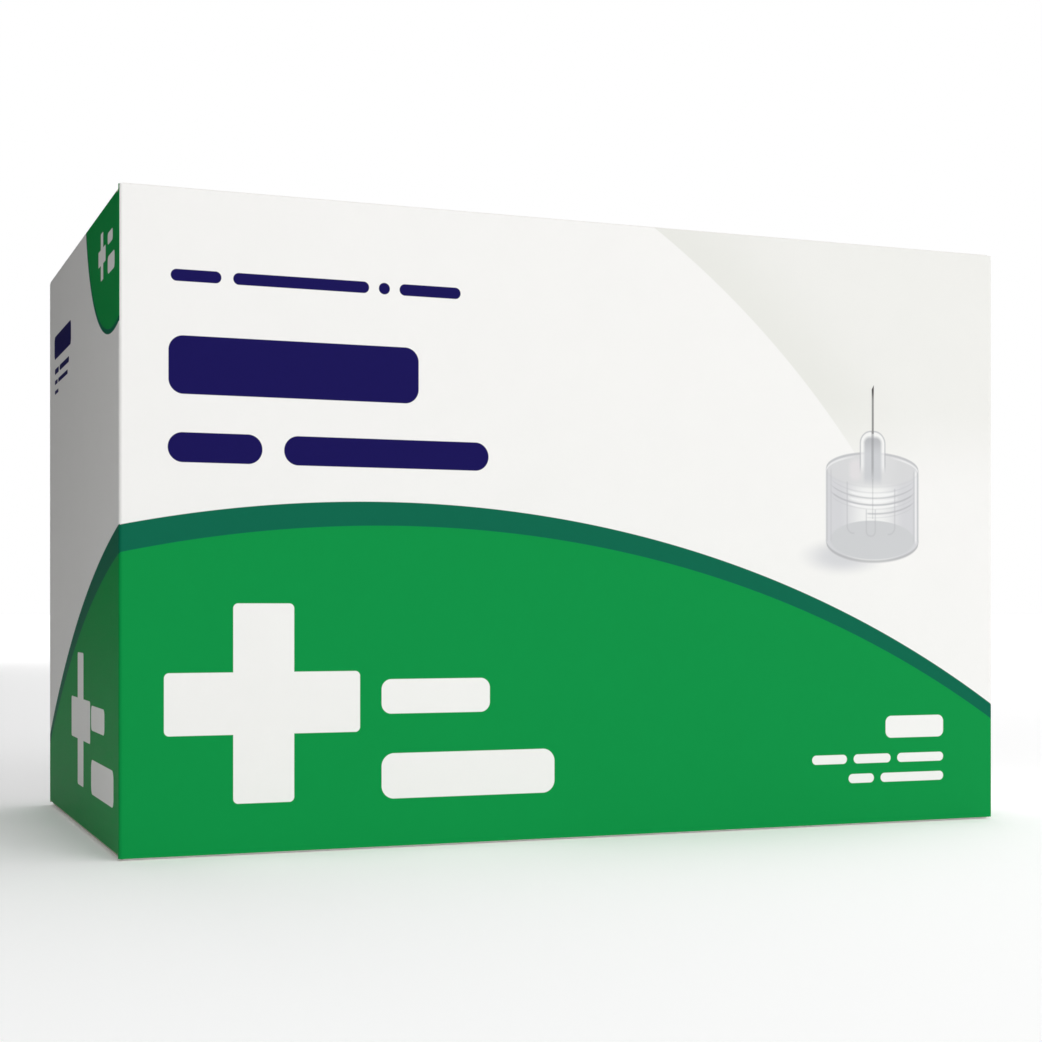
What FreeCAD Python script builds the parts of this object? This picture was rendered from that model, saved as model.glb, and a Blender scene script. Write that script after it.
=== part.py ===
import FreeCAD, Part

import math
import os
import re

import Sketcher

# A folding carton of capped pen needles, closed, as it stands on a shelf.
# Millimetres. The origin is the middle of the base, the front panel faces -Y and +Z is up.
# The carton is one folded sheet of board. Its tuck-in lid swings on the crease of the back panel.
# Inside stand the needles, each sealed in its own outer cover by a peel-off tab, and a folded leaflet.

SIZES = {
    # The closed carton, outside
    "carton_wide": 137.0,
    "carton_deep": 75.5,
    "carton_tall": 89.5,
    # The board and its creases
    "board": 0.45,
    "fold_radius": 0.5,
    "hinge_radius": 0.5,
    "running_gap": 0.1,
    # The seam at the back right corner
    "seam_step": 0.8,
    "glue_flap_wide": 12.0,
    "glue_flap_taper": 4.0,
    "glue_flap_root": 1.2,
    # The glued bottom
    "base_inset": 0.6,
    "base_tongue_tall": 12.0,
    "dust_flap_long": 36.0,
    "dust_flap_taper": 3.0,
    "dust_flap_corner": 4.0,
    "crease_gap": 0.2,
    # How far the front panel's two cut edges stop short of the top and the bottom
    "front_short": 0.25,
    # The top
    "tongue_room": 1.8,
    "lid_inset": 0.6,
    "tongue_long": 14.0,
    "tongue_inset": 1.0,
    "tongue_corner": 6.0,
    "slit_long": 7.0,
    # One needle's outer cover and its peel-off tab
    "cover_tall": 27.0,
    "tip_across": 8.6,
    "shoulder_across": 10.4,
    "shoulder_tall": 15.0,
    "mouth_across": 13.2,
    "flange_across": 14.8,
    "flange_thick": 0.8,
    "tab_thick": 0.2,
    "tab_reach": 2.8,
    # How the covers stand
    "needle_count": 100,
    "cover_gap": 0.25,
    "wall_gap": 0.2,
    "tongue_gap": 0.4,
    # The folded leaflet
    "leaflet_long": 66.0,
    "leaflet_wide": 27.0,
    "leaflet_pitch": 2.0,
    "leaflet_thick": 1.2,
    "leaflet_panels": 4,
    "leaflet_gap": 0.5,
}

COVER_SIDES = 9
# How far a cut runs past the board that it cuts
OVERRUN = 1.0
# How far the leg of a folded flap runs back into the wall that it grows from
LEG = 1.0

doc = FreeCAD.newDocument("pen_needle_carton")
sheet = doc.addObject("Spreadsheet::Sheet", "Sizes")
for row, (alias, number) in enumerate(SIZES.items(), start=1):
    sheet.set(f"A{row}", alias)
    sheet.set(f"B{row}", str(number))
    sheet.setAlias(f"B{row}", alias)
doc.recompute()

# Places that several pieces share, as formulas of the sizes
HINGE_Y = "(carton_deep / 2 - hinge_radius)"
HINGE_Z = "(carton_tall - hinge_radius)"
RIM = "(carton_tall - 2 * hinge_radius - running_gap)"
TOP_FLAP_TOP = "(carton_tall - board - running_gap)"
TONGUE_FACE = "(-carton_deep / 2 + board + running_gap)"
TONGUE_TIP = f"({HINGE_Y} - sqrt(({HINGE_Y} - {TONGUE_FACE})^2 - tongue_long^2))"
FLOOR = "(2 * board)"


def formula(text):
    """Point each size named in a formula at its cell of the sheet."""
    return re.sub(r"[a-z_]+", lambda m: "Sizes." + m[0] if m[0] in SIZES else m[0], text)


def value(text):
    """The number that a formula of sizes gives now."""
    return float(sheet.evalExpression(formula(text)))


def new_body(name):
    body = doc.addObject("PartDesign::Body", name)
    body.Label = name
    return body


def new_sketch(body, name, role, lift="0"):
    """A sketch on one of the body's own planes, moved along its normal by lift."""
    sketch = body.newObject("Sketcher::SketchObject", name)
    plane = next(feature for feature in body.Origin.OriginFeatures if feature.Role == role)
    sketch.AttachmentSupport = [(plane, "")]
    sketch.MapMode = "FlatFace"
    sketch.setExpression(".AttachmentOffset.Base.z", formula(lift))
    return sketch


def fix(sketch, kind, element, text):
    """Set a size of the sketch, such as a point's X or a circle's radius, to a formula."""
    if kind == "Radius":
        number = sketch.addConstraint(Sketcher.Constraint(kind, element, value(text)))
    else:
        geometry, point = element
        number = sketch.addConstraint(Sketcher.Constraint(kind, geometry, point, value(text)))
    name = f"size{number}"
    sketch.renameConstraint(number, name)
    sketch.setExpression(f"Constraints.{name}", formula(text))


def round_corner(sketch, corner, before, after, arriving, leaving, radius, text):
    """Join two lines of an outline by a tangent arc about their corner, a construction point."""
    to_before = (before - corner).normalize()
    to_after = (after - corner).normalize()
    half = to_before.getAngle(to_after) / 2
    centre = corner + (to_before + to_after).normalize() * (radius / math.sin(half))
    first = corner + to_before * (radius / math.tan(half)) - centre
    second = corner + to_after * (radius / math.tan(half)) - centre
    turns_left = to_after.cross(to_before).z > 0
    if not turns_left:
        first, second = second, first
    circle = Part.Circle(centre, FreeCAD.Vector(0, 0, 1), radius)
    angles = [math.atan2(end.y, end.x) for end in (first, second)]
    arc = sketch.addGeometry(Part.ArcOfCircle(circle, angles[0], angles[1]))
    meets_arriving, meets_leaving = (1, 2) if turns_left else (2, 1)
    sketch.addConstraint(Sketcher.Constraint("Tangent", arriving, 2, arc, meets_arriving))
    sketch.addConstraint(Sketcher.Constraint("Tangent", arc, meets_leaving, leaving, 1))
    point = sketch.addGeometry(Part.Point(corner), True)
    sketch.addConstraint(Sketcher.Constraint("PointOnObject", point, 1, arriving))
    sketch.addConstraint(Sketcher.Constraint("PointOnObject", point, 1, leaving))
    fix(sketch, "Radius", arc, text)
    return point, 1


def outline(sketch, corners):
    """A closed outline through corners, each an X, a Y and, where it is rounded, a radius."""
    points = [FreeCAD.Vector(value(corner[0]), value(corner[1]), 0) for corner in corners]
    count = len(points)
    setbacks = []
    for index, corner in enumerate(corners):
        radius = value(corner[2]) if len(corner) > 2 else 0
        spread = (points[index - 1] - points[index]).getAngle(points[(index + 1) % count] - points[index])
        setbacks.append(radius / math.tan(spread / 2))
    lines = []
    for index, start in enumerate(points):
        end = points[(index + 1) % count]
        along = (end - start).normalize()
        first = start + along * setbacks[index]
        last = end - along * setbacks[(index + 1) % count]
        lines.append(sketch.addGeometry(Part.LineSegment(first, last)))
    for index, corner in enumerate(corners):
        arriving = lines[index - 1]
        leaving = lines[index]
        if len(corner) > 2:
            after = points[(index + 1) % count]
            place = round_corner(
                sketch, points[index], points[index - 1], after, arriving, leaving, value(corner[2]), corner[2]
            )
        else:
            sketch.addConstraint(Sketcher.Constraint("Coincident", arriving, 2, leaving, 1))
            place = (leaving, 1)
        fix(sketch, "DistanceX", place, corner[0])
        fix(sketch, "DistanceY", place, corner[1])


def pad(body, sketch, length, symmetric=False):
    feature = body.newObject("PartDesign::Pad", sketch.Name + "_pad")
    feature.Profile = sketch
    feature.setExpression("Length", formula(length))
    if symmetric:
        feature.SideType = "Symmetric"
    sketch.Visibility = False
    return feature


def pocket(body, sketch, length, symmetric=False, along_normal=False):
    """Cut the outline of a sketch out of the body, and make sure that it did cut."""
    doc.recompute()
    before = body.Shape.Volume
    feature = body.newObject("PartDesign::Pocket", sketch.Name + "_pocket")
    feature.Profile = sketch
    feature.setExpression("Length", formula(length))
    feature.Reversed = along_normal
    if symmetric:
        feature.SideType = "Symmetric"
    sketch.Visibility = False
    doc.recompute()
    if body.Shape.Volume >= before:
        raise RuntimeError(f"{sketch.Name} cuts nothing")
    return feature


def mirror_left_to_right(body, name, features):
    feature = body.newObject("PartDesign::Mirrored", name)
    feature.Originals = features
    plane = next(item for item in body.Origin.OriginFeatures if item.Role == "YZ_Plane")
    feature.MirrorPlane = (plane, [""])
    body.Tip = feature
    return feature


def sleeve(body):
    """The four walls, one strip of board whose seam is at the back right corner."""
    walls = new_sketch(body, "walls", "XY_Plane", "front_short")
    outline(walls, [
        ("-carton_wide / 2", "-carton_deep / 2", "fold_radius"),
        ("carton_wide / 2", "-carton_deep / 2", "fold_radius"),
        ("carton_wide / 2", "carton_deep / 2 - board", "fold_radius"),
        ("carton_wide / 2 - seam_step", "carton_deep / 2 - board"),
        ("carton_wide / 2 - seam_step", "carton_deep / 2"),
        ("-carton_wide / 2", "carton_deep / 2", "fold_radius"),
    ])
    inner = "fold_radius - board"
    outline(walls, [
        ("-carton_wide / 2 + board", "-carton_deep / 2 + board", inner),
        ("carton_wide / 2 - board", "-carton_deep / 2 + board", inner),
        ("carton_wide / 2 - board", "carton_deep / 2 - 2 * board", inner),
        ("carton_wide / 2 - glue_flap_wide", "carton_deep / 2 - 2 * board"),
        ("carton_wide / 2 - glue_flap_wide", "carton_deep / 2 - board"),
        ("-carton_wide / 2 + board", "carton_deep / 2 - board", inner),
    ])
    pad(body, walls, "carton_tall - 2 * front_short")

    # Only the front panel keeps its full height, because the lid and its flaps fold in over the others.
    rim = new_sketch(body, "rim", "YZ_Plane")
    outline(rim, [
        ("-carton_deep / 2 + fold_radius", RIM),
        (f"carton_deep / 2 + {OVERRUN}", RIM),
        (f"carton_deep / 2 + {OVERRUN}", f"carton_tall + {OVERRUN}"),
        ("-carton_deep / 2 + fold_radius", f"carton_tall + {OVERRUN}"),
    ])
    pocket(body, rim, f"carton_wide + {OVERRUN}", symmetric=True)

    # The side and back panels stop where their bottom flaps begin to fold.
    foot = new_sketch(body, "foot", "YZ_Plane")
    outline(foot, [
        ("-carton_deep / 2 + 2 * board", "0"),
        (f"carton_deep / 2 + {OVERRUN}", "0"),
        (f"carton_deep / 2 + {OVERRUN}", "fold_radius"),
        ("carton_deep / 2 - 2 * board", "fold_radius"),
        ("carton_deep / 2 - 2 * board", "board + fold_radius"),
        ("-carton_deep / 2 + 2 * board", "board + fold_radius"),
    ])
    pocket(body, foot, f"carton_wide + {OVERRUN}", symmetric=True)

    # The glue flap is cut at a slant at both ends.
    ends = (("low", "fold_radius", 1), ("high", RIM, -1))
    for name, level, inwards in ends:
        taper = new_sketch(body, f"glue_flap_{name}", "XZ_Plane", "board - carton_deep / 2")
        tip = f"carton_wide / 2 - glue_flap_wide - {OVERRUN}"
        outline(taper, [
            ("carton_wide / 2 - glue_flap_root", level),
            (tip, f"{level} + {inwards} * glue_flap_taper"),
            (tip, f"{level} - {inwards} * {OVERRUN}"),
            ("carton_wide / 2 - glue_flap_root", f"{level} - {inwards} * {OVERRUN}"),
        ])
        pocket(body, taper, "board", along_normal=True)


def closing_panel(body):
    """The bottom panel, folded in from the back, with its tongue glued inside the front panel."""
    profile = new_sketch(body, "closing_panel", "YZ_Plane")
    outline(profile, [
        ("carton_deep / 2", f"fold_radius + {LEG}"),
        ("carton_deep / 2 - board", f"fold_radius + {LEG}"),
        ("carton_deep / 2 - board", "board", "fold_radius - board"),
        ("-carton_deep / 2 + 2 * board", "board", "fold_radius - board"),
        ("-carton_deep / 2 + 2 * board", "base_tongue_tall"),
        ("-carton_deep / 2 + board", "base_tongue_tall"),
        ("-carton_deep / 2 + board", "0", "fold_radius"),
        ("carton_deep / 2", "0", "fold_radius"),
    ])
    pad(body, profile, "carton_wide - 2 * base_inset", symmetric=True)


def dust_flaps(body, name, outer_face, inwards, front, back):
    """The two flaps that fold in from the side panels, at the level of outer_face.

    inwards is 1 where the board lies above its outer face, and -1 where it lies below.
    """
    inner_face = f"{outer_face} + {inwards} * board"
    wall_end = f"{outer_face} + {inwards} * (fold_radius + {LEG})"
    fold = new_sketch(body, f"{name}_fold", "XZ_Plane", f"-({back})")
    outline(fold, [
        ("-carton_wide / 2", wall_end),
        ("-carton_wide / 2", outer_face, "fold_radius"),
        ("-carton_wide / 2 + fold_radius + board", outer_face),
        ("-carton_wide / 2 + fold_radius + board", inner_face),
        ("-carton_wide / 2 + board", inner_face, "fold_radius - board"),
        ("-carton_wide / 2 + board", wall_end),
    ])
    fold_pad = pad(body, fold, f"{back} - ({front})")
    lower_face = outer_face if inwards > 0 else inner_face
    flat = new_sketch(body, f"{name}_flat", "XY_Plane", lower_face)
    tip = "-carton_wide / 2 + dust_flap_long"
    outline(flat, [
        ("-carton_wide / 2 + fold_radius", back),
        ("-carton_wide / 2 + fold_radius", front),
        (tip, f"{front} + dust_flap_taper", "dust_flap_corner"),
        (tip, f"{back} - dust_flap_taper", "dust_flap_corner"),
    ])
    flat_pad = pad(body, flat, "board")
    mirror_left_to_right(body, f"{name}_mirror", [fold_pad, flat_pad])


def make_carton():
    body = new_body("carton")
    sleeve(body)
    closing_panel(body)
    room = "2 * board + crease_gap"
    dust_flaps(body, "bottom_flap", "board", 1, f"-carton_deep / 2 + {room}", f"carton_deep / 2 - ({room})")
    top_back = "carton_deep / 2 - 2 * hinge_radius - running_gap"
    dust_flaps(body, "top_flap", TOP_FLAP_TOP, -1, "-carton_deep / 2 + tongue_room", top_back)
    return body


def make_lid():
    """The top panel with its rolled crease at the back and its tongue tucked in at the front."""
    body = new_body("lid")
    wide = "(carton_wide - 2 * lid_inset)"
    crease = new_sketch(body, "crease", "YZ_Plane")
    circle = crease.addGeometry(
        Part.Circle(FreeCAD.Vector(value(HINGE_Y), value(HINGE_Z), 0), FreeCAD.Vector(0, 0, 1), value("hinge_radius"))
    )
    fix(crease, "Radius", circle, "hinge_radius")
    fix(crease, "DistanceX", (circle, 3), HINGE_Y)
    fix(crease, "DistanceY", (circle, 3), HINGE_Z)
    pad(body, crease, wide, symmetric=True)

    panel = new_sketch(body, "panel", "YZ_Plane")
    outline(panel, [
        (TONGUE_FACE, "carton_tall - board"),
        (HINGE_Y, "carton_tall - board"),
        (HINGE_Y, "carton_tall"),
        (f"{TONGUE_FACE} + fold_radius", "carton_tall"),
        (TONGUE_FACE, "carton_tall - fold_radius + board"),
    ])
    pad(body, panel, wide, symmetric=True)

    # Between the two lock slits the panel runs round into the tongue.
    fold = new_sketch(body, "front_fold", "YZ_Plane")
    outline(fold, [
        (TONGUE_FACE, f"{HINGE_Z} - {LEG}"),
        (f"{TONGUE_FACE} + board", f"{HINGE_Z} - {LEG}"),
        (f"{TONGUE_FACE} + board", "carton_tall - board", "fold_radius - board"),
        (f"{TONGUE_FACE} + fold_radius + board", "carton_tall - board"),
        (f"{TONGUE_FACE} + fold_radius + board", "carton_tall"),
        (TONGUE_FACE, "carton_tall", "fold_radius"),
    ])
    pad(body, fold, f"{wide} - 2 * slit_long", symmetric=True)

    # The tongue leans back, so that its tip swings clear of the front panel.
    tongue = new_sketch(body, "tongue", "YZ_Plane")
    shoulder = "carton_tall - fold_radius - running_gap"
    outline(tongue, [
        (TONGUE_FACE, shoulder),
        (TONGUE_TIP, f"{HINGE_Z} - tongue_long"),
        (f"{TONGUE_TIP} + board", f"{HINGE_Z} - tongue_long"),
        (f"{TONGUE_FACE} + board", shoulder),
    ])
    pad(body, tongue, f"{wide} - 2 * tongue_inset", symmetric=True)

    # What is cut off to round the two corners of its tip
    offcuts = new_sketch(body, "tongue_corners", "XZ_Plane")
    tip = f"{HINGE_Z} - tongue_long"
    for side in (-1, 1):
        edge = f"{side} * ({wide} / 2 - tongue_inset)"
        outside = f"{edge} + {side} * {OVERRUN}"
        inside = f"{edge} - {side} * (tongue_corner + {OVERRUN})"
        outline(offcuts, [
            (outside, f"{tip} - {OVERRUN}"),
            (outside, f"{tip} + tongue_corner + {OVERRUN}"),
            (edge, f"{tip} + tongue_corner + {OVERRUN}"),
            (edge, tip, "tongue_corner"),
            (inside, tip),
            (inside, f"{tip} - {OVERRUN}"),
        ])
    pocket(body, offcuts, "carton_deep", symmetric=True)
    return body


def ring(across, level):
    """The corners of a regular polygon about the Z axis, the first on its +Y side."""
    radius = value(across) / 2
    height = value(level)
    angles = [math.pi / 2 + 2 * math.pi * index / COVER_SIDES for index in range(COVER_SIDES)]
    return [FreeCAD.Vector(radius * math.cos(angle), radius * math.sin(angle), height) for angle in angles]


def make_cover():
    """One outer cover: a narrow tube for the needle, a wide mouth for its hub and a sealing flange.

    Its flutes are flat faces from ring to ring, and it is closed, because its tab seals it.
    """
    under_flange = "cover_tall - flange_thick"
    rings = [
        ring("tip_across", "0"),
        ring("shoulder_across", "shoulder_tall"),
        ring("mouth_across", under_flange),
        ring("flange_across", under_flange),
        ring("flange_across", "cover_tall"),
    ]
    faces = [Part.Face(Part.makePolygon(end + end[:1])) for end in (rings[0], rings[-1])]
    for lower, upper in zip(rings, rings[1:]):
        for index in range(COVER_SIDES):
            after = (index + 1) % COVER_SIDES
            corners = [lower[index], lower[after], upper[after], upper[index], lower[index]]
            faces.append(Part.Face(Part.makePolygon(corners)))
    solid = Part.Solid(Part.Shell(faces))
    if solid.Volume < 0:
        solid.reverse()
    feature = doc.addObject("Part::Feature", "one_cover")
    feature.Shape = solid.removeSplitter()
    feature.Placement = FreeCAD.Placement()
    return feature


def make_tab():
    """One peel-off tab: it seals the flange of its cover and runs out to a point to pull it by."""
    body = new_body("one_tab")
    sketch = new_sketch(body, "tab_outline", "XY_Plane", "cover_tall")
    corners = [("0", "flange_across / 2 + tab_reach")]
    for index in range(1, COVER_SIDES):
        angle = 90 + 360 * index / COVER_SIDES
        corners.append((f"flange_across / 2 * cos({angle})", f"flange_across / 2 * sin({angle})"))
    outline(sketch, corners)
    pad(body, sketch, "tab_thick")
    return body


def needle_places():
    """Where each covered needle stands: full layers from the floor up, and the last beside the leaflet."""
    flange = value("flange_across")
    gap = value("cover_gap")
    left = value("-carton_wide / 2 + board + wall_gap") + flange / 2
    right = -left
    front = value(f"{TONGUE_TIP} + board + tongue_gap") + flange / 2
    back = value("carton_deep / 2 - 2 * board - wall_gap - tab_reach") - flange / 2
    layer_tall = value("cover_tall + tab_thick")
    columns = int((right - left) / (flange + gap)) + 1
    rows = int((back - front) / (flange + gap + value("tab_reach"))) + 1
    layers = int(value(f"{TOP_FLAP_TOP} - board - {FLOOR}") / layer_tall)
    column_step = (right - left) / max(columns - 1, 1)
    row_step = (back - front) / max(rows - 1, 1)
    bay = right - value("leaflet_wide + leaflet_gap")
    places = []
    for layer in range(layers):
        for column in range(columns):
            across = left + column * column_step
            beside_leaflet = layer == layers - 1
            if beside_leaflet and across > bay:
                continue
            for line in range(rows):
                level = value(FLOOR) + layer * layer_tall
                places.append(FreeCAD.Vector(across, front + line * row_step, level))
    return places[:int(value("needle_count"))], layers, layer_tall


def make_leaflet(level):
    """The instructions, folded to and fro, lying in the free end of the last layer."""
    body = new_body("instruction_leaflet")
    path = new_sketch(body, "leaflet_folds", "XZ_Plane")
    half = "(leaflet_wide / 2 - leaflet_pitch / 2 - leaflet_thick / 2)"
    panels = int(value("leaflet_panels"))
    pitch = value("leaflet_pitch")
    lines = []
    for index in range(panels):
        height = value(f"leaflet_thick / 2 + {index} * leaflet_pitch")
        side = -1 if index % 2 == 0 else 1
        start = FreeCAD.Vector(side * value(half), height, 0)
        end = FreeCAD.Vector(-side * value(half), height, 0)
        line = path.addGeometry(Part.LineSegment(start, end))
        lines.append(line)
        fix(path, "DistanceX", (line, 1), f"{side} * {half}")
        fix(path, "DistanceX", (line, 2), f"{-side} * {half}")
        fix(path, "DistanceY", (line, 1), f"leaflet_thick / 2 + {index} * leaflet_pitch")
        path.addConstraint(Sketcher.Constraint("Horizontal", line))
        if index == 0:
            continue
        centre = FreeCAD.Vector(start.x, height - pitch / 2, 0)
        circle = Part.Circle(centre, FreeCAD.Vector(0, 0, 1), pitch / 2)
        quarter = math.pi / 2
        first, last = (-quarter, quarter) if side > 0 else (quarter, 3 * quarter)
        arc = path.addGeometry(Part.ArcOfCircle(circle, first, last))
        below, above = (1, 2) if side > 0 else (2, 1)
        path.addConstraint(Sketcher.Constraint("Tangent", lines[index - 1], 2, arc, below))
        path.addConstraint(Sketcher.Constraint("Coincident", arc, above, line, 1))
    section = new_sketch(body, "leaflet_edge", "YZ_Plane", f"-{half}")
    outline(section, [
        ("-leaflet_long / 2", "0"),
        ("leaflet_long / 2", "0"),
        ("leaflet_long / 2", "leaflet_thick"),
        ("-leaflet_long / 2", "leaflet_thick"),
    ])
    sheet_of_paper = body.newObject("PartDesign::AdditivePipe", "leaflet_sheet")
    sheet_of_paper.Profile = section
    sheet_of_paper.Spine = path
    path.Visibility = False
    section.Visibility = False
    across = "carton_wide / 2 - board - wall_gap - leaflet_wide / 2"
    body.setExpression(".Placement.Base.x", formula(across))
    body.setExpression(".Placement.Base.z", f"{level}")
    return body


def grouped(name, unit, places):
    """Identical separate pieces under one name: a copy of the unit's solid at each place."""
    feature = doc.addObject("Part::Feature", name)
    feature.Label = name
    copies = []
    for place in places:
        copy = unit.Shape.copy()
        copy.translate(place)
        copies.append(copy)
    feature.Shape = Part.makeCompound(copies)
    feature.Placement = FreeCAD.Placement()
    return feature


def check(objects):
    """Stop if any object failed, or any sub-part has no sound shape."""
    for item in doc.Objects:
        if "Invalid" in item.State or "Error" in item.State:
            raise RuntimeError(f"{item.Label} failed: {item.State}")
        if item.TypeId == "Sketcher::SketchObject" and item.solve() != 0:
            raise RuntimeError(f"{item.Label} has no solution")
    for item in objects:
        if item.Shape.isNull() or not item.Shape.isValid():
            raise RuntimeError(f"{item.Label} has no valid shape")


carton = make_carton()
lid = make_lid()
one_cover = make_cover()
one_tab = make_tab()
doc.recompute()
check([carton, lid, one_cover, one_tab])

places, layers, layer_tall = needle_places()
outer_covers = grouped("outer_covers", one_cover, places)
peel_tabs = grouped("peel_tabs", one_tab, places)
leaflet = make_leaflet(value(FLOOR) + (layers - 1) * layer_tall)
doc.recompute()

parts = [carton, lid, outer_covers, peel_tabs, leaflet]
check(parts)
os.makedirs("parts", exist_ok=True)
for part in parts:
    part.Shape.exportStep(f"parts/{part.Label}.step")
    print(part.Label, len(part.Shape.Solids), "solids", round(part.Shape.Volume, 1), "mm3")
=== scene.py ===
import math

import bpy
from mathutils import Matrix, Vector


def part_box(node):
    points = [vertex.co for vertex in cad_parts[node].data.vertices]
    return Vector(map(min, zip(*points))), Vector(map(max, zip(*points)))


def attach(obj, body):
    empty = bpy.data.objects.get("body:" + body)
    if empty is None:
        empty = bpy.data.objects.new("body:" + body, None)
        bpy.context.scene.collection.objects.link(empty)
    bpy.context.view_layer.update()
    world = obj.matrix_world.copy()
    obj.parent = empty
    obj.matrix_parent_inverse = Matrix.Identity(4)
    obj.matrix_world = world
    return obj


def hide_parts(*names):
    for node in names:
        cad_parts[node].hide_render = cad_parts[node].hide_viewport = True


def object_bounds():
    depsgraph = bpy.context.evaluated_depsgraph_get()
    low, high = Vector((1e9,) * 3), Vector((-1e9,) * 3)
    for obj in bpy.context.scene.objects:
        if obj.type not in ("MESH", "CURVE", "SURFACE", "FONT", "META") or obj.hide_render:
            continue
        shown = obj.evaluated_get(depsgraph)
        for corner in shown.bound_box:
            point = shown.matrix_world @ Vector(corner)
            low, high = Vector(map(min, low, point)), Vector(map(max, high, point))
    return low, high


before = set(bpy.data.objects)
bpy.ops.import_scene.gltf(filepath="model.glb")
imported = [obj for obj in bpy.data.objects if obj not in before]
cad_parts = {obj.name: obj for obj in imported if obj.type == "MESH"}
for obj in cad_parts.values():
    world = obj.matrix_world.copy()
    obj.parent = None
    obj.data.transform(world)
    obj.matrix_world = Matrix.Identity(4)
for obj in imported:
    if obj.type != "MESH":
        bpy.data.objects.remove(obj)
cad_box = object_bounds()

# The carton's outside, in millimetres: the print is laid out on it
LEFT, FRONT, BOTTOM = [number * 1000 for number in cad_box[0]]
RIGHT, BACK, TOP = [number * 1000 for number in cad_box[1]]
WIDE = RIGHT - LEFT
DEEP = BACK - FRONT

# How soft an edge is: of print and of a test of place, in millimetres, and of a test of direction
PRINT_EDGE = 0.08
HARD = 0.01
FACING = 0.1


class Number:
    """A number that a material works out at each point of a surface. Arithmetic on it adds nodes."""

    def __init__(self, tree, socket):
        self.tree = tree
        self.socket = socket

    def math(self, operation, *others, clamp=False):
        node = self.tree.nodes.new("ShaderNodeMath")
        node.operation = operation
        node.use_clamp = clamp
        for socket, term in zip(node.inputs, (self, *others)):
            if isinstance(term, Number):
                self.tree.links.new(term.socket, socket)
            else:
                socket.default_value = term
        return Number(self.tree, node.outputs[0])

    def __add__(self, other):
        return self.math("ADD", other)

    def __sub__(self, other):
        return self.math("SUBTRACT", other)

    def __mul__(self, other):
        return self.math("MULTIPLY", other)

    def __truediv__(self, other):
        return self.math("DIVIDE", other)

    def __neg__(self):
        return self * -1.0

    def __abs__(self):
        return self.math("ABSOLUTE")

    def least(self, other):
        return self.math("MINIMUM", other)

    def most(self, other):
        return self.math("MAXIMUM", other)

    def root(self):
        return self.most(0.0).math("SQRT")

    def above(self, limit, soft=PRINT_EDGE):
        """1 where the number is above the limit, 0 where it is below, over a soft edge."""
        return (self - limit).math("MULTIPLY_ADD", 1.0 / soft, 0.5, clamp=True)

    def below(self, limit, soft=PRINT_EDGE):
        return (self - limit).math("MULTIPLY_ADD", -1.0 / soft, 0.5, clamp=True)

    def eased(self, low, high):
        """0 at low and 1 at high, smoothly."""
        node = self.tree.nodes.new("ShaderNodeMapRange")
        node.interpolation_type = "SMOOTHSTEP"
        self.tree.links.new(self.socket, node.inputs["Value"])
        node.inputs["From Min"].default_value = low
        node.inputs["From Max"].default_value = high
        return Number(self.tree, node.outputs["Result"])


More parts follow.
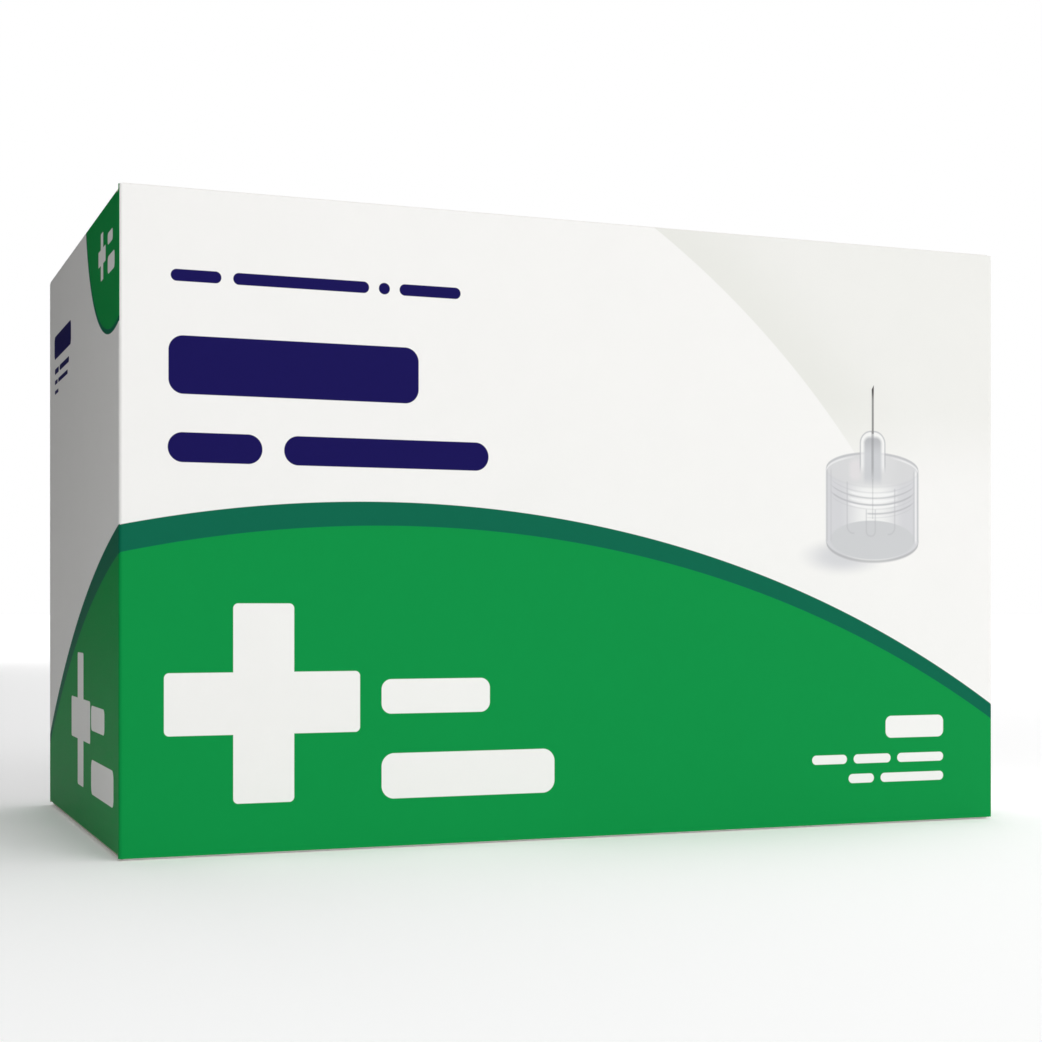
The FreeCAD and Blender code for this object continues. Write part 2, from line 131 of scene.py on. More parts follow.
class Finish:
    """One procedural material."""

    def __init__(self, name, roughness, **uniform):
        self.material = bpy.data.materials.new(name)
        self.material.use_nodes = True
        self.tree = self.material.node_tree
        self.shader = self.tree.nodes["Principled BSDF"]
        self.shader.inputs["Roughness"].default_value = roughness
        for socket, number in uniform.items():
            self.shader.inputs[socket.replace("_", " ")].default_value = number
        self.coordinates = self.tree.nodes.new("ShaderNodeTexCoord")

    def split(self, output):
        """The three numbers of one of the texture coordinates."""
        node = self.tree.nodes.new("ShaderNodeSeparateXYZ")
        self.tree.links.new(self.coordinates.outputs[output], node.inputs[0])
        return [Number(self.tree, socket) for socket in node.outputs]

    def joined(self, *numbers):
        node = self.tree.nodes.new("ShaderNodeCombineXYZ")
        for number, socket in zip(numbers, node.inputs):
            if isinstance(number, Number):
                self.tree.links.new(number.socket, socket)
            else:
                socket.default_value = number
        return node.outputs[0]

    def vector(self, operation, *terms):
        node = self.tree.nodes.new("ShaderNodeVectorMath")
        node.operation = operation
        for socket, term in zip(node.inputs, terms):
            if isinstance(term, bpy.types.NodeSocket):
                self.tree.links.new(term, socket)
            else:
                socket.default_value = term
        return node.outputs["Value" if operation == "LENGTH" else "Vector"]

    def noise(self, size, detail=3.0, stretch=(1, 1, 1), rough=0.5):
        """Noise about 0, whose features are about size millimetres across."""
        node = self.tree.nodes.new("ShaderNodeTexNoise")
        per_millimetre = tuple(1000 * share for share in stretch)
        scaled = self.vector("MULTIPLY", self.coordinates.outputs["Object"], per_millimetre)
        self.tree.links.new(scaled, node.inputs["Vector"])
        node.inputs["Scale"].default_value = 1.0 / size
        node.inputs["Detail"].default_value = detail
        node.inputs["Roughness"].default_value = rough
        return Number(self.tree, node.outputs["Fac"]) - 0.5

    def mixed(self, first, second, share):
        """The first colour, and the second where share is 1."""
        node = self.tree.nodes.new("ShaderNodeMix")
        node.data_type = "RGBA"
        self.tree.links.new(share.socket, node.inputs[0])
        for socket, colour in ((node.inputs[6], first), (node.inputs[7], second)):
            if isinstance(colour, bpy.types.NodeSocket):
                self.tree.links.new(colour, socket)
            else:
                socket.default_value = (*colour, 1.0)
        return node.outputs[2]

    def own_place(self):
        """Millimetres from the middle of one copy of a repeated shape."""
        node = self.tree.nodes.new("ShaderNodeAttribute")
        node.attribute_name = "own_place"
        parts = self.tree.nodes.new("ShaderNodeSeparateXYZ")
        self.tree.links.new(node.outputs["Vector"], parts.inputs[0])
        return [Number(self.tree, socket) * 1000 for socket in parts.outputs]

    def scaled(self, colour, factor):
        """The colour made lighter or darker by a number near 1."""
        node = self.tree.nodes.new("ShaderNodeVectorMath")
        node.operation = "SCALE"
        self.tree.links.new(colour, node.inputs[0])
        self.tree.links.new(factor.socket, node.inputs["Scale"])
        return node.outputs["Vector"]

    def colour(self, socket):
        self.tree.links.new(socket, self.shader.inputs["Base Color"])

    def roughness(self, number):
        self.tree.links.new(number.socket, self.shader.inputs["Roughness"])

    def relief(self, height, distance):
        """Bumps, from a height of about 0 to 1 and the millimetres that 1 stands for."""
        node = self.tree.nodes.new("ShaderNodeBump")
        node.inputs["Distance"].default_value = distance / 1000
        self.tree.links.new(height.socket, node.inputs["Height"])
        self.tree.links.new(node.outputs[0], self.shader.inputs["Normal"])

    def bar(self, place, left, right, low, high, radius):
        """How far a point is outside a bar with rounded corners, in millimetres."""
        centre = ((left + right) / 2, (low + high) / 2, 0)
        core = ((right - left) / 2 - radius, (high - low) / 2 - radius, 0)
        offset = self.vector("ABSOLUTE", self.vector("SUBTRACT", place, centre))
        outside = self.vector("MAXIMUM", self.vector("SUBTRACT", offset, core), (0, 0, 0))
        return Number(self.tree, self.vector("LENGTH", outside)) - radius

    def bars(self, place, shapes):
        """Full ink inside any of the bars."""
        nearest = None
        for shape in shapes:
            distance = self.bar(place, *shape)
            nearest = distance if nearest is None else nearest.least(distance)
        return nearest.below(0.0)


def linear(*srgb):
    """A colour as a screen shows it, 0 to 255, as the light that the shader takes."""
    return tuple((c / 255 / 12.92) if c <= 10 else ((c / 255 + 0.055) / 1.055) ** 2.4 for c in srgb)


# Inks and board
WHITE = linear(235, 234, 232)
PALE = linear(222, 222, 217)
GREEN = linear(0, 140, 65)
DEEP_GREEN = linear(0, 98, 72)
NAVY = linear(16, 8, 81)
RAW = linear(216, 211, 198)
RAW_FLECK = linear(184, 176, 160)

# The print of the side panels is drawn a little narrower than they are deep
SIDE_SCALE = 0.981
# The height of the front panel's lower edge, from which the print is measured
FOOT = 0.25
# How far under the carton's outside a point still belongs to it, in millimetres: on its walls and
# base, and on the dust flaps, the lid's panel and the lid's crease
SKIN = 0.2
FLAP_DEPTH = 1.05
LID_DEPTH = 0.8
CREASE_DEPTH = 1.2
# Two circles bound the dark band, and the field of green is inside the second: first on the front,
# then round the left corner
BAND_TOP = (36.85, -134.08, 181.89)
FIELD_TOP = (38.48, -136.93, 181.44)
LEFT_BAND_TOP = (42.59, -152.04, 200.75)
LEFT_FIELD_TOP = (40.4, -162.03, 206.33)
# A faint grey field lies outside this circle, at the top right. It is strongest along the circle, over
# the rim's width, and fades out downwards between two heights
WEDGE = (0.94, -26.6, 138.81)
WEDGE_RIM = 13.0
WEDGE_FADE = (50.0, 66.0)
# The round patch at the top of the left panel
PATCH = (-6.1, 95.7, 25.5)
PATCH_RIM = 0.7

# The picture of the needle in its clear hub: the upright middle line and the hub's half width
PICTURE_MIDDLE = 115.0
HUB_HALF = 8.25
# Its rim, foot and thread follow ellipses: the height of the middle, and half the ellipse's height
RIM_LEVEL = 54.4
RIM_HALF = 2.6
FOOT_LEVEL = 43.3
FOOT_HALF = 3.1
THREAD_HALF = 3.4
# Each line of the thread: height at the middle, half width, strength and where it begins
THREAD = [
    (50.9, 0.06, 0.4, -9.0),
    (50.05, 0.1, 0.75, -9.0),
    (49.0, 0.13, 0.85, -9.0),
    (48.35, 0.05, 0.4, -9.0),
    (47.65, 0.12, 0.8, -1.0),
    (47.05, 0.05, 0.4, -1.0),
]
# The heights of the white lines between them
THREAD_LIGHTS = (50.5, 49.55, 48.7)
# How far from the middle line the hub's upright edges are
OUTER_EDGE = 8.13
WHITE_EDGE = 7.78
INNER_EDGE = 7.4
# Ellipses: the middle across and up, half the width and half the height
SHADOW = (109.6, 41.0, 7.8, 3.0)
HUB_FLOOR = (PICTURE_MIDDLE, 43.6, 7.5, 3.0)
# Bars: left, right, low, high and the radius of the corners
GLEAM = (110.9, 112.9, 52.8, 55.9, 0.9)
LEFT_HOOK = (110.45, 113.1, 44.6, 70.0, 1.1)
RIGHT_HOOK = (116.6, 118.95, 44.5, 70.0, 1.1)
LOOP = (113.85, 115.45, 44.2, 70.0, 0.75)
STEM = (112.78, 117.18, 50.0, 60.35, 1.9)
STEM_CORE = (113.45, 116.55, 50.0, 59.5, 1.0)
HUB_SHAFT = (114.92, 115.06, 46.9, 53.0, 0.05)
STEM_SHAFT = (114.78, 115.16, 52.0, 60.4, 0.1)
NEEDLE = (114.82, 115.18, 60.0, 67.8, 0.1)
# Where the hooks and the loop end: the side across, and the top
LEFT_HOOK_SIDE = 111.6
LEFT_HOOK_TOP = 52.4
RIGHT_HOOK_SIDE = 117.8
RIGHT_HOOK_TOP = 51.5
LOOP_TOP = 48.2
# The heights between which a part of the stem or the needle comes into sight or darkens
STEM_SHOWS = (53.6, 55.4)
CORE_SHOWS = (51.8, 53.4)
SHAFT_SHOWS = (51.9, 55.0)
CORE_DARKENS = (56.5, 59.3)
NEEDLE_DARKENS = (65.0, 66.8)
# The cut of the needle's tip: its height at the middle, and its slope
TIP_LEVEL = 67.2
TIP_SLOPE = 1.8
# The picture's greys
LINE = linear(176, 176, 180)
LIGHT = linear(236, 236, 236)
SHADOW_GREY = linear(186, 187, 193)
WALL_MIDDLE = linear(230, 230, 229)
WALL_SIDES = linear(203, 203, 206)
FLOOR_GREY = linear(197, 198, 200)
MOUTH_GREY = linear(206, 206, 207)
GLEAM_GREY = linear(218, 214, 216)
FOOT_LINE = linear(160, 160, 163)
CORE_LOW = linear(196, 197, 200)
CORE_HIGH = linear(178, 179, 182)
HUB_SHAFT_GREY = linear(150, 150, 153)
STEM_SHAFT_GREY = linear(146, 146, 149)
NEEDLE_LOW = linear(138, 137, 136)
NEEDLE_HIGH = linear(64, 60, 60)


def plus(across, up, size, stroke):
    """A plain plus sign as two bars."""
    half = size / 2
    arm = stroke / 2
    radius = stroke * 0.08
    return [
        (across - half, across + half, up - arm, up + arm, radius),
        (across - arm, across + arm, up - half, up + half, radius),
    ]


def row_of_bars(low, high, *spans):
    radius = (high - low) / 2 - 0.01
    return [(left, right, low, high, radius) for left, right in spans]


# The print's plain bars: left, right, low, high and corner radius, from the left end of the front
NAVY_BARS = [
    *row_of_bars(76.6, 78.2, (6.8, 13.6), (15.2, 34.2), (35.6, 37.2), (38.6, 47.6)),
    (6.5, 41.4, 61.6, 69.4, 2.0),
    *row_of_bars(52.5, 56.5, (6.4, 19.2), (22.2, 51.8)),
]
WHITE_BARS = [
    *plus(19.4, 20.2, 27.0, 8.4),
    (36.0, 52.0, 18.4, 23.2, 1.4),
    (36.0, 61.9, 6.6, 12.9, 1.8),
    (117.3, 127.8, 13.0, 16.4, 1.0),
    *row_of_bars(9.2, 10.6, (104.3, 110.4), (111.6, 118.2), (119.4, 127.8)),
    *row_of_bars(6.2, 7.6, (110.7, 115.2), (116.4, 127.8)),
]
SIDE_NAVY_BARS = [
    (-67.5, -47.0, 74.4, 78.2, 1.0),
    *row_of_bars(71.9, 72.8, (-67.0, -62.0), (-60.8, -49.4)),
    *row_of_bars(70.2, 70.9, (-67.0, -63.5), (-62.6, -51.0)),
    *row_of_bars(68.6, 69.2, (-67.0, -62.4)),
]
SIDE_WHITE_BARS = [
    *plus(-36.3, 16.4, 20.0, 6.2),
    (-25.3, -12.6, 15.4, 19.0, 1.0),
    (-25.3, -4.6, 6.2, 11.2, 1.3),
    *plus(-14.8, 82.0, 6.6, 2.2),
    (-9.6, -5.2, 82.6, 84.2, 0.5),
    (-9.6, -3.6, 78.6, 81.0, 0.7),
]


def inside_circle(across, up, circle):
    """How far a point is inside a circle, in millimetres."""
    dx = across - circle[0]
    dz = up - circle[1]
    return -((dx * dx + dz * dz).root() - circle[2])


def round_the_corner(across, up, on_front, on_left):
    """How far a point is inside one circle on the front, and another past the left corner."""
    front = inside_circle(across, up, on_front)
    left = inside_circle(across, up, on_left)
    return front + (left - front) * across.below(0.0, HARD)


def wedge(across, up):
    """The faint grey field: strongest along its curved edge, gone towards the bottom."""
    inwards = -inside_circle(across, up, WEDGE)
    strength = (inwards.eased(WEDGE_RIM, 0.0) * 0.42 + 0.55) * up.eased(*WEDGE_FADE)
    return inwards.above(0.0, 0.15) * strength


class NeedlePicture:
    """A plain drawing of a needle in its clear threaded hub, in greys, over a base colour."""

    def __init__(self, finish, across, up, base):
        self.finish = finish
        self.across = across
        self.up = up
        self.place = finish.joined(across, up, 0.0)
        self.colour = base
        self.offset = across - PICTURE_MIDDLE
        side = self.offset / HUB_HALF
        # 0 on the middle line and 1 at the hub's walls
        self.aside = abs(side)
        # The arc that a rim draws, 1 high
        self.bow = (-(side * side) + 1.0).root()
        self.beside = self.aside.below(1.0, 0.03)
        self.above_far_rim = up - RIM_LEVEL - self.bow * RIM_HALF
        self.above_near_rim = up - RIM_LEVEL + self.bow * RIM_HALF
        self.above_foot = up - FOOT_LEVEL + self.bow * FOOT_HALF
        self.hub = self.beside * self.above_foot.above(0.0, 0.2) * self.above_far_rim.below(0.0, 0.2)

    def lay(self, tone, share):
        """Lays a tone over the picture, in full where share is 1."""
        self.colour = self.finish.mixed(self.colour, tone, share)

    def bar(self, shape):
        return self.finish.bar(self.place, *shape)

    def ellipse(self, shape):
        """How far out in an ellipse a point is: 0 at its middle and 1 on its edge."""
        middle, level, half_wide, half_tall = shape
        x = (self.across - middle) / half_wide
        z = (self.up - level) / half_tall
        return (x * x + z * z).root()

    def body(self):
        """The shadow, and the clear wall, nearly white in the middle and grey at its sides."""
        self.lay(SHADOW_GREY, self.ellipse(SHADOW).eased(1.1, 0.25) * 0.62)
        wall = self.finish.mixed(WALL_MIDDLE, WALL_SIDES, self.aside.eased(0.1, 0.72))
        self.lay(wall, self.hub)
        self.lay(FLOOR_GREY, self.ellipse(HUB_FLOOR).below(1.0, 0.06) * self.hub)
        self.lay(MOUTH_GREY, self.hub * self.above_near_rim.above(0.0, 0.9) * 0.85)
        self.lay(GLEAM_GREY, self.bar(GLEAM).below(0.0, 0.8) * 0.7)

    def thread(self):
        """Fine lines that follow the rim: the last turn runs out half way."""
        along = self.up + self.bow * THREAD_HALF - THREAD_HALF
        for level in THREAD_LIGHTS:
            white = abs(along - level).below(0.17, 0.2) * self.aside.below(0.5, 0.12)
            self.lay(LIGHT, white * 0.7)
        for level, width, strength, begins in THREAD:
            turn = abs(along - level).below(width, 0.2) * self.aside.below(0.87, 0.1)
            self.lay(LINE, turn * self.offset.above(begins, 0.6) * strength)

    def inside(self):
        """Fine upright lines of what stands inside: a hook on each side and a loop between them."""
        left = abs(self.bar(LEFT_HOOK)).most(self.across - LEFT_HOOK_SIDE)
        left = left.most(self.up - LEFT_HOOK_TOP)
        right = abs(self.bar(RIGHT_HOOK)).most(-self.across + RIGHT_HOOK_SIDE)
        right = right.most(self.up - RIGHT_HOOK_TOP)
        loop = abs(self.bar(LOOP)).most(self.up - LOOP_TOP)
        self.lay(LINE, left.least(right).least(loop).below(0.1, 0.2) * 0.55)

    def edges(self):
        """The hub's upright edges, its rim and its foot."""
        half_tall = (RIM_LEVEL - FOOT_LEVEL) / 2
        wall = abs(self.up - (RIM_LEVEL + FOOT_LEVEL) / 2).below(half_tall, 0.6)
        self.lay(LINE, abs(abs(self.offset) - OUTER_EDGE).below(0.13, 0.25) * wall * 0.65)
        self.lay(LINE, abs(abs(self.offset) - INNER_EDGE).below(0.1, 0.2) * wall * 0.4)
        self.lay(LIGHT, abs(self.offset - WHITE_EDGE).below(0.15, 0.2) * wall * 0.7)
        under_rim = self.beside * abs(self.above_far_rim + 0.42).below(0.13, 0.2)
        self.lay(LIGHT, under_rim * self.aside.above(0.5, 0.3) * 0.6)
        far_rim = self.beside * abs(self.above_far_rim).below(0.17, 0.2) * 0.75
        near_rim = self.beside * abs(self.above_near_rim).below(0.1, 0.3) * 0.2
        self.lay(LINE, far_rim.most(near_rim))
        self.lay(FOOT_LINE, self.beside * abs(self.above_foot - 0.1).below(0.2, 0.3) * 0.7)

    def stem(self):
        """The clear stem on the hub, and the needle's shaft in both."""
        stem = self.bar(STEM)
        shown = self.up.eased(*STEM_SHOWS)
        self.lay(LIGHT, stem.below(0.0, 0.2) * shown * 0.6)
        self.lay(LINE, abs(stem).below(0.1, 0.18) * shown * 0.85)
        core = self.bar(STEM_CORE).below(0.0, 0.5) * self.up.eased(*CORE_SHOWS)
        self.lay(self.finish.mixed(CORE_LOW, CORE_HIGH, self.up.eased(*CORE_DARKENS)), core)
        self.lay(HUB_SHAFT_GREY, self.bar(HUB_SHAFT).below(0.0, 0.2) * 0.5)
        shaft = self.bar(STEM_SHAFT).below(0.0, 0.25) * self.up.eased(*SHAFT_SHOWS)
        self.lay(STEM_SHAFT_GREY, shaft * 0.75)

    def needle(self):
        """The bare needle above the stem, with its tip cut at a slant."""
        tip = (self.up - self.offset * TIP_SLOPE).below(TIP_LEVEL, 0.15)
        tone = self.finish.mixed(NEEDLE_LOW, NEEDLE_HIGH, self.up.eased(*NEEDLE_DARKENS))
        self.lay(tone, self.bar(NEEDLE).below(0.0, 0.12) * tip)


def needle_picture(finish, across, up, base):
    """The base colour with the whole picture on it."""
    picture = NeedlePicture(finish, across, up, base)
    picture.body()
    picture.thread()
    picture.inside()
    picture.edges()
    picture.stem()
    picture.needle()
    return picture.colour


def board_finish(name):
    """Coated white board with its print on the outside, and raw fibre board inside and on cut edges."""
    finish = Finish(name, roughness=0.58, Specular_IOR_Level=0.08)
    finish.place = [number * 1000 for number in finish.split("Object")]
    finish.facing = finish.split("Normal")
    return finish


def finish_board(finish, print_colour, coated):
    """Joins the printed and the raw side, with paper grain and soft unevenness on both."""
    fine = finish.noise(0.35, detail=4)
    cloudy = finish.noise(7.0, detail=2)
    flecks = finish.noise(0.5, detail=5, rough=0.75).above(0.12, 0.1)
    streaks = finish.noise(0.12, detail=2, stretch=(1, 1, 3))
    printed = finish.scaled(print_colour, fine * 0.012 + cloudy * 0.02 + 1.0)
    raw = finish.mixed(RAW, RAW_FLECK, flecks * 0.35)
    raw = finish.scaled(raw, streaks * 0.1 + cloudy * 0.04 + 1.0)
    finish.colour(finish.mixed(raw, printed, coated))
    finish.roughness(coated * -0.28 + fine * 0.08 + 0.86)
    wave = finish.noise(24.0, detail=1)
    finish.relief(fine * 0.012 + finish.noise(1.6, detail=2) * 0.02 + wave * 0.5, 0.35)
    return finish.material


def carton_board():
    finish = board_finish("printed_board")
    x, y, z = finish.place
    nx, ny, nz = finish.facing
    half = WIDE / 2
    middle = (LEFT + RIGHT) / 2
    side = (x - middle).math("SIGN")
    aside = abs(x - middle)
    inward = y - FRONT
    scale = side * ((1 - SIDE_SCALE) / 2) + (1 + SIDE_SCALE) / 2
    # The distance along the outside of the sheet, from the middle of the front round to the back
    at_back = inward.above(DEEP - 0.1, HARD)
    along_front_and_side = aside + scale * inward
    along_back = scale * DEEP - aside + WIDE
    along = along_front_and_side + (along_back - along_front_and_side) * at_back
    across = side * along + half
    front = inward.below(SKIN, HARD)
    up = z - FOOT
    place = finish.joined(across, up, 0.0)

    colour = finish.mixed(WHITE, PALE, wedge(across, up) * front)
    colour = needle_picture(finish, across, up, colour)
    band = round_the_corner(across, up, BAND_TOP, LEFT_BAND_TOP)
    field = round_the_corner(across, up, FIELD_TOP, LEFT_FIELD_TOP)
    colour = finish.mixed(colour, DEEP_GREEN, band.above(0.0))
    colour = finish.mixed(colour, GREEN, field.above(0.0))
    on_left = side.below(0.0, HARD) * front.below(0.5, HARD) * at_back.below(0.5, HARD)
    patch = inside_circle(across, up, PATCH)
    colour = finish.mixed(colour, DEEP_GREEN, patch.above(0.0) * on_left)
    colour = finish.mixed(colour, GREEN, patch.above(PATCH_RIM) * on_left)
    navy = finish.bars(place, NAVY_BARS + SIDE_NAVY_BARS)
    colour = finish.mixed(colour, NAVY, navy)
    white = finish.bars(place, WHITE_BARS + SIDE_WHITE_BARS)
    colour = finish.mixed(colour, WHITE, white)

    wall_x = abs(x).above(RIGHT - SKIN, HARD) * (nx * x.math("SIGN")).above(0.3, FACING)
    wall_y = abs(y).above(BACK - SKIN, HARD) * (ny * y.math("SIGN")).above(0.3, FACING)
    base = z.below(BOTTOM + SKIN, HARD)
    below = base * nz.below(-0.3, FACING)
    flap = z.above(TOP - FLAP_DEPTH, HARD) * nz.above(0.5, FACING) * abs(y).below(BACK - 0.6, HARD)
    # The flaps and the base are coated and bare of ink
    bare = flap.most(base * nz.below(-0.5, FACING))
    colour = finish.mixed(colour, WHITE, bare)
    return finish_board(finish, colour, wall_x.most(wall_y).most(below).most(flap))


def lid_board():
    finish = board_finish("printed_lid")
    x, y, z = finish.place
    nx, ny, nz = finish.facing
    across = x - LEFT
    up = (y - FRONT) + (TOP - FOOT)
    colour = finish.mixed(WHITE, PALE, wedge(across, up) * nz.above(0.5, 0.2))
    panel = nz.above(0.2, FACING) * z.above(TOP - LID_DEPTH, HARD)
    fold = ny.below(-0.3, FACING)
    crease = y.above(BACK - CREASE_DEPTH, HARD) * ny.above(0.2, FACING)
    cut = abs(nx).below(0.5, FACING)
    return finish_board(finish, colour, panel.most(fold).most(crease) * cut)


def give(node, material):
    """A CAD node gets the material in each of its slots."""
    for index in range(len(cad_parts[node].material_slots)):
        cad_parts[node].material_slots[index].material = material


give("carton", carton_board())
give("lid", lid_board())

# The contents: each needle's outer cover and its peel-off tab, and the folded leaflet
FLANGE = 7.4
COVER_TALL = 27.0
LAYER_TALL = 27.2
ROWS = 4
COLUMNS = 9
# How many columns each layer has: the leaflet takes the last two columns' place in the top layer
LAYERS = (9, 9, 7)
# Height and radius up the outside of a cover, and how deep its flutes are there
COVER_PROFILE = [
    (0.0, 3.6, 0.0),
    (0.15, 4.05, 0.0),
    (0.6, 4.3, 0.0),
    (1.6, 4.36, 0.32),
    (14.6, 5.1, 0.36),
    (15.0, 5.2, 0.36),
    (16.0, 5.75, 0.36),
    (16.5, 5.88, 0.36),
    (24.6, 6.55, 0.3),
    (25.6, 6.62, 0.0),
    (26.05, 6.75, 0.0),
    (26.2, 7.05, 0.0),
    (26.25, 7.32, 0.0),
    (26.4, FLANGE, 0.0),
    (26.85, FLANGE, 0.0),
    (27.0, 7.28, 0.0),
]
# The flutes round a cover, and how deep one is at each of its points
FLUTES = 12
FLUTE_SHAPE = (0.0, 0.6, 1.0, 0.6)
SIDES = FLUTES * len(FLUTE_SHAPE)
# The tab: a disc on the flange with a round pull beyond it, and how many points their outlines have
PULL_RADIUS = 1.7
PULL_REACH = 2.8
DISC_POINTS = 40
PULL_POINTS = 12
# Its thickness and the bevel round its top, and the dip inside its seal, with a slope down to it
TAB_THICK = 0.2
BEVEL_TALL = 0.05
BEVEL_WIDE = 0.06
TAB_SEAL = 6.3
TAB_DIP = 0.09
DIP_SLOPE = 0.5
DIP_MIDDLE = 0.5
# The ring that is printed on it, and the knurl that is pressed round its edge
RING_RADIUS = 4.1
KNURL_RADIUS = 6.85
KNURL_TEETH = 60.0
# The CAD's tabs have nine sides and a corner at the back: how far off the axes the leftmost corner
# and the two front ones are
CAD_LEFT_CORNER = math.radians(10)
CAD_FRONT_CORNER = math.radians(70)
# The leaflet's lines of print, the blocks that they stand in, and its margins
LINE_PITCH = 1.1
BLOCK_PITCH = 13.0
COLUMN_MARGIN = 1.3
END_MARGIN = 3.0


def places():
    """Where each cover stands, layer by layer, inside the box of the CAD's nine-sided tabs."""
    low, high = [corner * 1000 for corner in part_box("peel_tabs")]
    floor_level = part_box("outer_covers")[0].z * 1000
    first_column = low.x + FLANGE * math.cos(CAD_LEFT_CORNER)
    first_row = low.y + FLANGE * math.sin(CAD_FRONT_CORNER)
    last_row = high.y - FLANGE - PULL_REACH
    column_step = -2 * first_column / (COLUMNS - 1)
    row_step = (last_row - first_row) / (ROWS - 1)
    for layer, columns in enumerate(LAYERS):
        for column in range(columns):
            for row in range(ROWS):
                across = first_column + column * column_step
                yield Vector((across, first_row + row * row_step, floor_level + layer * LAYER_TALL))


def skin(levels):
    """Corners and faces of a closed shape from outlines of as many points each."""
    count = len(levels[0])
    corners = [Vector(point) for level in levels for point in level]
    faces = [tuple(reversed(range(count)))]
    for level in range(len(levels) - 1):
        for side in range(count):
            after = (side + 1) % count
            low, high = level * count, (level + 1) * count
            faces.append((low + side, low + after, high + after, high + side))
    faces.append(tuple(range((len(levels) - 1) * count, len(levels) * count)))
    return corners, faces


def one_cover():
    levels = []
    for height, radius, flute in COVER_PROFILE:
        level = []
        for side in range(SIDES):
            angle = 2 * math.pi * side / SIDES
            here = radius - flute * FLUTE_SHAPE[side % len(FLUTE_SHAPE)]
            level.append((here * math.cos(angle), here * math.sin(angle), height))
        levels.append(level)
    return skin(levels)


def one_tab():
    """The film lies on the flange, and dips a little over the cover's mouth."""
    away = FLANGE + PULL_REACH - PULL_RADIUS
    spread = math.acos((FLANGE - PULL_RADIUS) / away)
    outline = []
    for step in range(DISC_POINTS):
        angle = math.pi / 2 + spread + (2 * math.pi - 2 * spread) * step / (DISC_POINTS - 1)
        outline.append((FLANGE * math.cos(angle), FLANGE * math.sin(angle)))
    for step in range(1, PULL_POINTS):
        angle = math.pi / 2 - spread + 2 * spread * step / PULL_POINTS
        outline.append((PULL_RADIUS * math.cos(angle), away + PULL_RADIUS * math.sin(angle)))

    def level(height, inset=0.0, radius=None):
        points = []
        for x, y in outline:
            far = math.hypot(x, y)
            share = (radius if radius else far - inset) / far
            points.append((x * share, y * share, COVER_TALL + height))
        return points

    return skin([
        level(0.0),
        level(TAB_THICK - BEVEL_TALL),
        level(TAB_THICK, inset=BEVEL_WIDE),
        level(TAB_THICK, radius=TAB_SEAL),
        level(TAB_THICK - TAB_DIP, radius=TAB_SEAL - DIP_SLOPE),
        level(TAB_THICK - TAB_DIP, radius=DIP_MIDDLE),
    ])


def repeated(name, unit, material, node):
    """One piece of all the copies, each of which knows its own middle for its material."""
    corners, faces = unit
    every_corner, every_face, local = [], [], []
    for place in places():
        start = len(every_corner)
        every_corner += [(corner + place) / 1000 for corner in corners]
        every_face += [tuple(start + index for index in face) for face in faces]
        local += [number / 1000 for corner in corners for number in corner]
    mesh = bpy.data.meshes.new(name)
    mesh.from_pydata(every_corner, [], every_face)
    mesh.attributes.new("own_place", "FLOAT_VECTOR", "POINT").data.foreach_set("vector", local)
    mesh.shade_smooth()
    mesh.set_sharp_from_angle(angle=math.radians(38))
    mesh.materials.append(material)
    piece = bpy.data.objects.new(name, mesh)
    bpy.context.scene.collection.objects.link(piece)
    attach(piece, "carton_body")
    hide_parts(node)


def cover_plastic():
    """Milky moulded plastic, a little uneven, with a faint green cast."""
    finish = Finish("cover_plastic", roughness=0.34, Subsurface_Weight=0.25, Subsurface_Scale=0.002)
    grain = finish.noise(0.5, detail=3)
    cloud = finish.noise(9.0, detail=2)
    tone = finish.mixed(linear(214, 222, 219), linear(228, 233, 231), cloud.eased(-0.2, 0.2))
    finish.colour(finish.scaled(tone, grain * 0.03 + 1.0))
    finish.roughness(cloud * 0.12 + grain * 0.05 + 0.34)
    finish.relief(grain + cloud, 0.03)
    return finish.material


def tab_film():
    """White coated paper: a pressed ring where it is sealed, and the pack's green on its pull."""
    finish = Finish("tab_film", roughness=0.55)
    x, y, _ = finish.own_place()
    far = (x * x + y * y).root()
    grain = finish.noise(0.25, detail=4)
    colour = finish.mixed(linear(236, 236, 233), GREEN, y.above(FLANGE + 0.5) * 0.9)
    colour = finish.mixed(colour, GREEN, abs(far - RING_RADIUS).below(0.22) * 0.85)
    finish.colour(finish.scaled(colour, grain * 0.06 + 1.0))
    turn = y.math("ARCTAN2", x)
    knurl = (turn * KNURL_TEETH).math("SINE") * abs(far - KNURL_RADIUS).below(0.42, 0.2)
    finish.roughness(grain * 0.1 + 0.55)
    finish.relief(knurl * 0.5 + grain * 0.5, 0.08)
    return finish.material


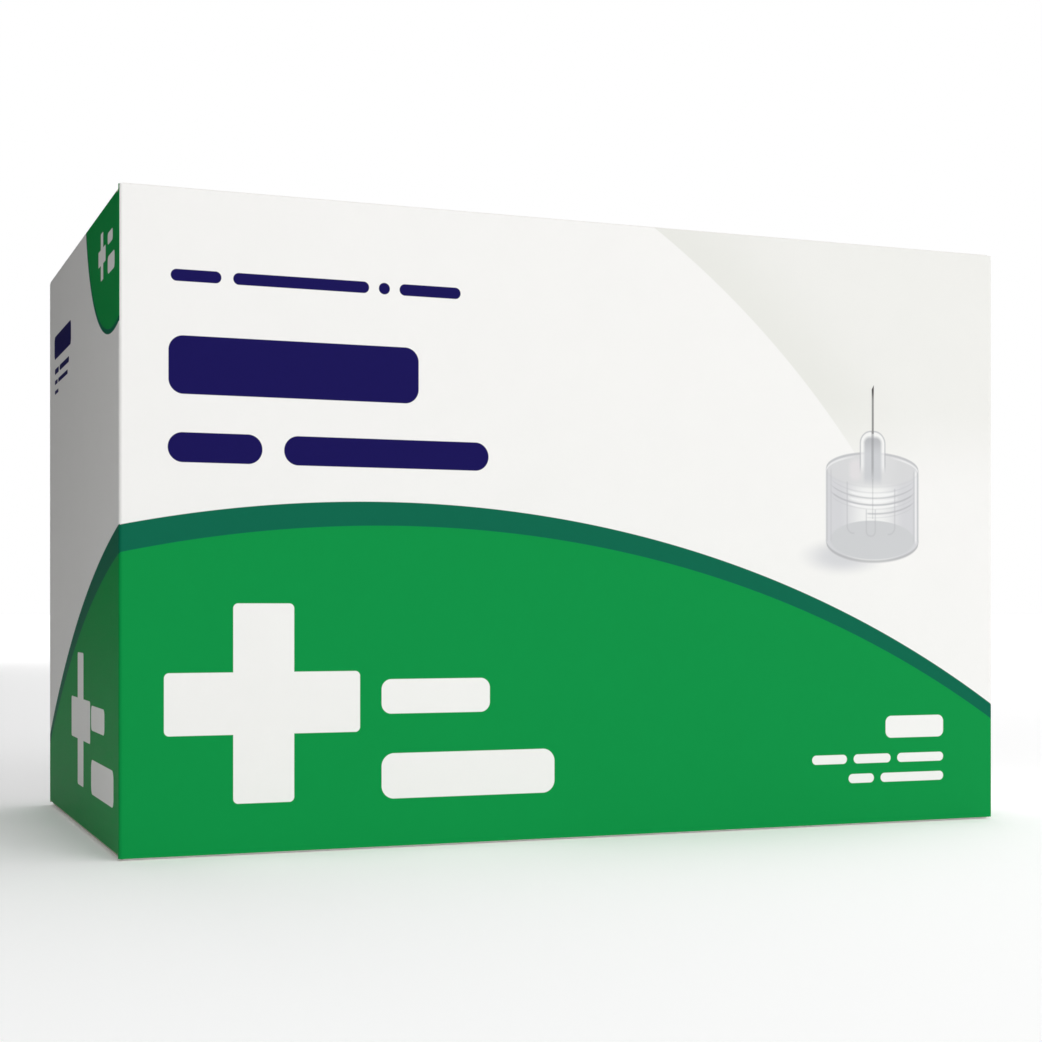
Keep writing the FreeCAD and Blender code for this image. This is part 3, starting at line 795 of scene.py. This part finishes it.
def leaflet_paper():
    """Thin white paper with fine broken grey lines in two columns."""
    finish = Finish("leaflet_paper", roughness=0.8)
    x, y, _ = [number * 1000 for number in finish.split("Object")]
    facing_up = finish.split("Normal")[2].above(0.5, FACING)
    low, high = [corner * 1000 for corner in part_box("instruction_leaflet")]
    middle = (low.x + high.x) / 2
    half = (high.x - low.x) / 2
    line = abs((y / LINE_PITCH).math("FRACT") - 0.5).below(0.22, 0.08)
    block = abs((y / BLOCK_PITCH).math("FRACT") - 0.5).below(0.44, 0.01)
    column = abs(abs(x - middle) - half / 2).below(half / 2 - COLUMN_MARGIN, 0.1)
    inside = abs(y).below((high.y - low.y) / 2 - END_MARGIN, 0.1)
    breaks = finish.noise(1.3, detail=1, stretch=(1, 0.9, 1)).above(-0.1, 0.1)
    grain = finish.noise(0.2, detail=4)
    cloud = finish.noise(6.0, detail=2)
    ink = line * block * column * inside * breaks * facing_up
    colour = finish.mixed(linear(238, 238, 234), linear(120, 120, 122), ink * 0.8)
    finish.colour(finish.scaled(colour, grain * 0.05 + cloud * 0.03 + 1.0))
    finish.roughness(grain * 0.1 + 0.8)
    finish.relief(grain * 0.3 + cloud, 0.12)
    return finish.material


repeated("needle_covers", one_cover(), cover_plastic(), "outer_covers")
repeated("needle_tabs", one_tab(), tab_film(), "peel_tabs")
give("instruction_leaflet", leaflet_paper())


# The floor, the light and the camera
def studio():
    """Even white light from all round, as in a light tent."""
    world = bpy.data.worlds.new("studio")
    world.use_nodes = True
    background = world.node_tree.nodes["Background"]
    background.inputs["Color"].default_value = (1.0, 1.0, 1.0, 1.0)
    background.inputs["Strength"].default_value = 1.0
    bpy.context.scene.world = world


def floor():
    bpy.ops.mesh.primitive_circle_add(vertices=96, radius=12.0, fill_type="NGON", location=(0, 0, -0.00005))
    disc = bpy.context.object
    disc.name = "floor"
    finish = Finish("pale_floor", roughness=0.8, Specular_IOR_Level=0.1, Emission_Strength=0.1)
    tone = finish.noise(300.0, detail=1)
    finish.colour(finish.mixed(linear(249, 249, 249), linear(252, 252, 252), tone.eased(-0.3, 0.3)))
    disc.data.materials.append(finish.material)


def key_light():
    """A wide soft light from the front right."""
    sun = bpy.data.objects.new("key", bpy.data.lights.new("key", "SUN"))
    sun.data.energy = 0.56
    sun.data.angle = math.radians(40)
    sun.rotation_mode = "QUATERNION"
    sun.rotation_quaternion = Vector((0.3, -0.8, 0.52)).to_track_quat("Z", "Y")
    bpy.context.scene.collection.objects.link(sun)


def black_flag():
    """A black board on the left, out of the camera's sight, which keeps that side in shade."""
    turn = (0, math.radians(90), math.radians(-9.3))
    bpy.ops.mesh.primitive_plane_add(size=1.0, location=(-0.22, 0.35, 0.345), rotation=turn)
    board = bpy.context.object
    board.name = "black_flag"
    board.scale = (0.7, 1.11, 1.0)
    finish = Finish("black_felt", roughness=1.0, Specular_IOR_Level=0.0)
    tone = finish.noise(2.0, detail=2)
    finish.colour(finish.mixed((0.01, 0.01, 0.01), (0.02, 0.02, 0.02), tone + 0.5))
    board.data.materials.append(finish.material)
    board.visible_camera = False


def camera():
    bpy.context.scene.view_settings.view_transform = "Standard"
    data = bpy.data.cameras.new("camera")
    data.sensor_width = 36.0
    data.lens = 62.87
    data.shift_y = 0.0855
    data.clip_start = 0.01
    data.clip_end = 100.0
    eye = bpy.data.objects.new("camera", data)
    eye.location = (-0.10582, -0.28002, 0.03304)
    eye.rotation_euler = (math.radians(90), 0, math.radians(-21.218))
    bpy.context.scene.collection.objects.link(eye)
    bpy.context.scene.camera = eye


studio()
floor()
key_light()
black_flag()
camera()
